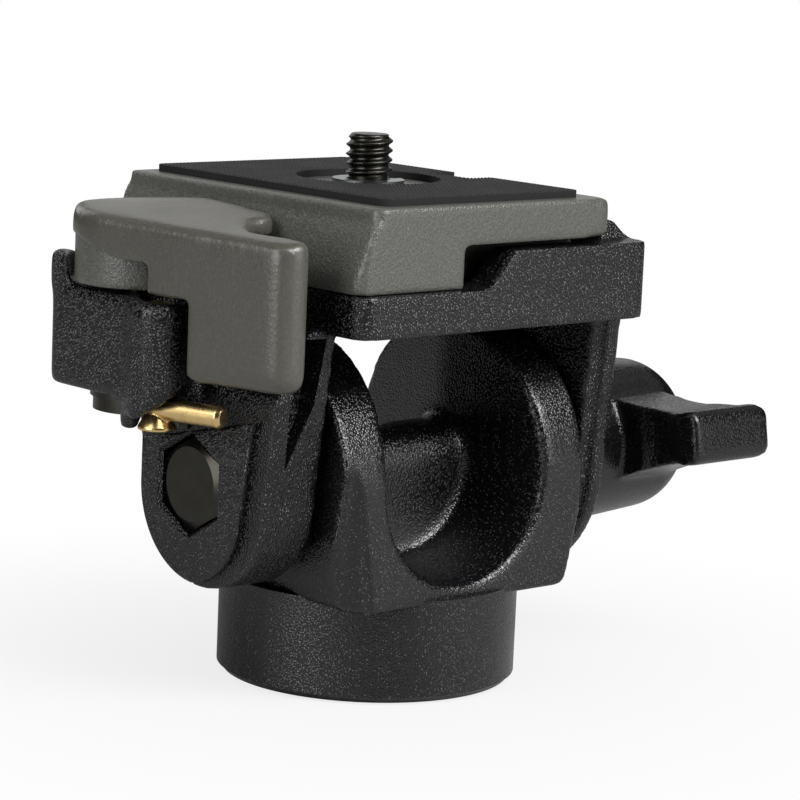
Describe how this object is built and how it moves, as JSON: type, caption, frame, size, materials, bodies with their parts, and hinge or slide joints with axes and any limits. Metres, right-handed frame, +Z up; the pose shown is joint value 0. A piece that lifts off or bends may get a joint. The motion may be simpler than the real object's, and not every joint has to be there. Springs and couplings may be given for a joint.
{
  "type": "monopod tilt head",
  "caption": "Cast tilt head for a monopod: forked foot, tilting receiver with a wing-knob brake, cam-lever quick release with a safety catch, and a padded camera plate with a screw.",
  "frame": {"origin": "mouth of the foot's 3/8 inch thread, on the foot's bottom face", "axes": "+Z up along the foot's thread; the tilt axis runs along X with the wing knob at +X; the front is -Y"},
  "size_m": [0.0984, 0.054, 0.0737],
  "materials": {
    "black_coat": "die-cast aluminium with a black wrinkle powder coat",
    "taupe_paint": "die-cast aluminium, satin warm grey paint",
    "grey_paint": "die-cast aluminium, grained grey paint",
    "black_plastic": "satin moulded nylon",
    "rubber": "fine diagonal ribs",
    "brass": "turned, lightly polished",
    "steel": "bright zinc plated",
    "black_steel": "black oxide",
    "nylon": "natural nylon",
    "fibre": "brake fibre"
  },
  "bodies": {
    "base": {"yoke": "black_coat", "base_thread_bush": "brass", "friction_washer_left": "fibre", "friction_washer_right": "fibre"},
    "platform": {"tilt_platform": "black_coat", "pivot_bolt": "black_steel", "knob_washer": "steel", "lever_pivot_washer": "steel", "lever_spring": "steel", "catch_spring": "steel", "catch_stop_pin": "black_steel", "plunger_spring": "steel", "quick_release_plate": "grey_paint", "plate_pad": "rubber"},
    "knob": {"wing_knob": "black_plastic", "knob_insert": "brass", "knob_thrust_washer": "nylon"},
    "lever": {"lock_lever": "taupe_paint", "lever_pivot_screw": "black_steel"},
    "catch": {"safety_catch": "brass", "catch_retaining_ring": "steel"},
    "plunger": {"release_plunger": "brass", "plunger_retainer": "steel"},
    "screw": {"camera_screw": "black_steel", "screw_d_ring": "steel", "screw_retaining_ring": "steel"}
  },
  "joints": [
    {"name": "tilt", "type": "hinge", "parent": "base", "child": "platform", "pos_m": [0, 0, 0.0287], "axis": [1, 0, 0], "range_deg": [-90, 90]},
    {"name": "knob_turn", "type": "hinge", "parent": "platform", "child": "knob", "pos_m": [0.045, 0, 0.0287], "axis": [1, 0, 0], "continuous": true},
    {"name": "lever_swing", "type": "hinge", "parent": "platform", "child": "lever", "pos_m": [-0.0326, 0.0102, 0.058], "axis": [0, 0, 1], "range_deg": [-70, 0], "stiffness_Nm_per_rad": 0.05, "springref_deg": 22.92, "deforming": ["lever_spring"]},
    {"name": "catch_turn", "type": "hinge", "parent": "platform", "child": "catch", "pos_m": [-0.0376, 0, 0.04], "axis": [0, 0, 1], "range_deg": [-14, 0], "stiffness_Nm_per_rad": 0.01, "springref_deg": 17.19, "deforming": ["catch_spring"]},
    {"name": "plunger_press", "type": "slide", "parent": "platform", "child": "plunger", "axis": [0, 0, 1], "range_m": [-0.0009, 0], "stiffness_N_per_m": 400, "springref_m": 0.002, "deforming": ["plunger_spring"]},
    {"name": "screw_turn", "type": "hinge", "parent": "platform", "child": "screw", "pos_m": [-0.0017, 0.0015, 0.066], "axis": [0, 0, 1], "continuous": true}
  ]
}
